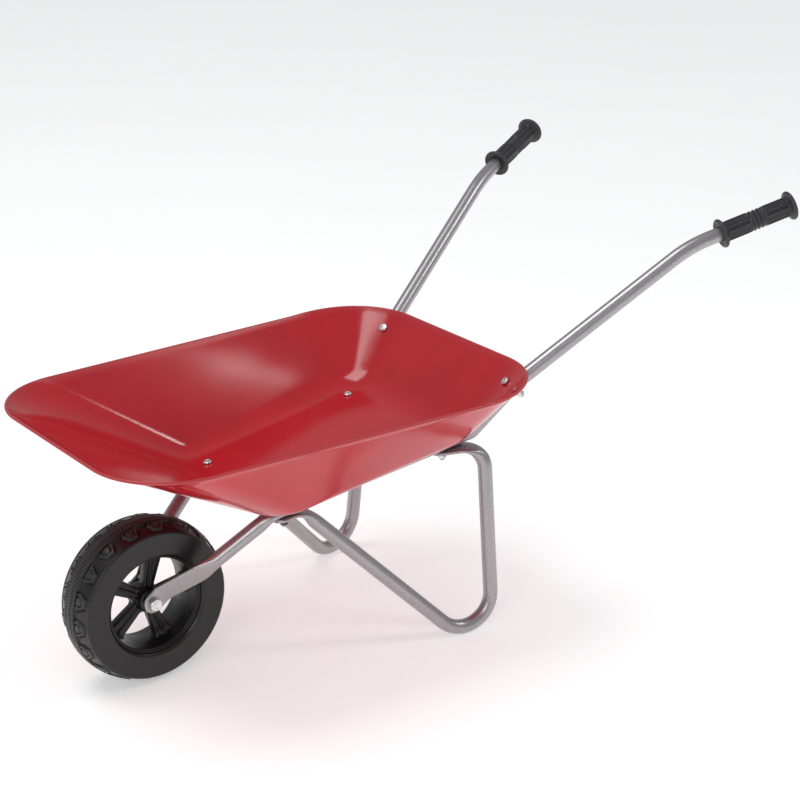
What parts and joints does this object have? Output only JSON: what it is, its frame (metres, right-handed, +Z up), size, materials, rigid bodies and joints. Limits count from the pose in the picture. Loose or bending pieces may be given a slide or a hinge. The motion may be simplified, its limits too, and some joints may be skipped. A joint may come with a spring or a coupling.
{
  "type": "wheelbarrow, child's size",
  "caption": "Small wheelbarrow with a pressed steel tray, bent tube handles that run on to the axle, tube leg loops and a plastic wheel.",
  "frame": {"origin": "on the ground below the middle of the overall box", "axes": "+X forwards to the wheel, +Y to the user's left, +Z up"},
  "size_m": [0.8044, 0.473, 0.461],
  "materials": {
    "tray_paint": "glossy red paint",
    "tube_paint": "silver-grey, satin with a bright highlight",
    "grip_rubber": "black, satin, moulded",
    "tyre_black": "black, satin, moulded",
    "rim_black": "black, satin, moulded",
    "bush_grey": "grey",
    "zinc": "bright zinc plating",
    "dark_steel": "dark oiled steel"
  },
  "bodies": {
    "frame": {"tray": "tray_paint", "handle_tube_left": "tube_paint", "leg_left": "tube_paint", "grip_left": "grip_rubber", "floor_front_bolt_left": "zinc", "floor_front_washer_left": "zinc", "floor_front_nut_left": "dark_steel", "floor_rear_bolt_left": "zinc", "floor_rear_washer_left": "zinc", "floor_rear_nut_left": "zinc", "wall_bolt_left": "zinc", "wall_washer_left": "zinc", "wall_nut_left": "zinc", "handle_tube_right": "tube_paint", "leg_right": "tube_paint", "grip_right": "grip_rubber", "floor_front_bolt_right": "zinc", "floor_front_washer_right": "zinc", "floor_front_nut_right": "dark_steel", "floor_rear_bolt_right": "zinc", "floor_rear_washer_right": "zinc", "floor_rear_nut_right": "zinc", "wall_bolt_right": "zinc", "wall_washer_right": "zinc", "wall_nut_right": "zinc", "axle_sleeve": "zinc", "axle_bolt": "zinc", "axle_nut": "zinc", "axle_washer_left": "zinc", "axle_washer_right": "zinc"},
    "wheel": {"tyre": "tyre_black", "wheel_rim": "rim_black", "hub_bush_left": "bush_grey", "hub_bush_right": "bush_grey"}
  },
  "joints": [
    {"name": "wheel_spin", "type": "hinge", "parent": "frame", "child": "wheel", "pos_m": [0.3075, 0, 0.089], "axis": [0, 1, 0], "continuous": true}
  ]
}
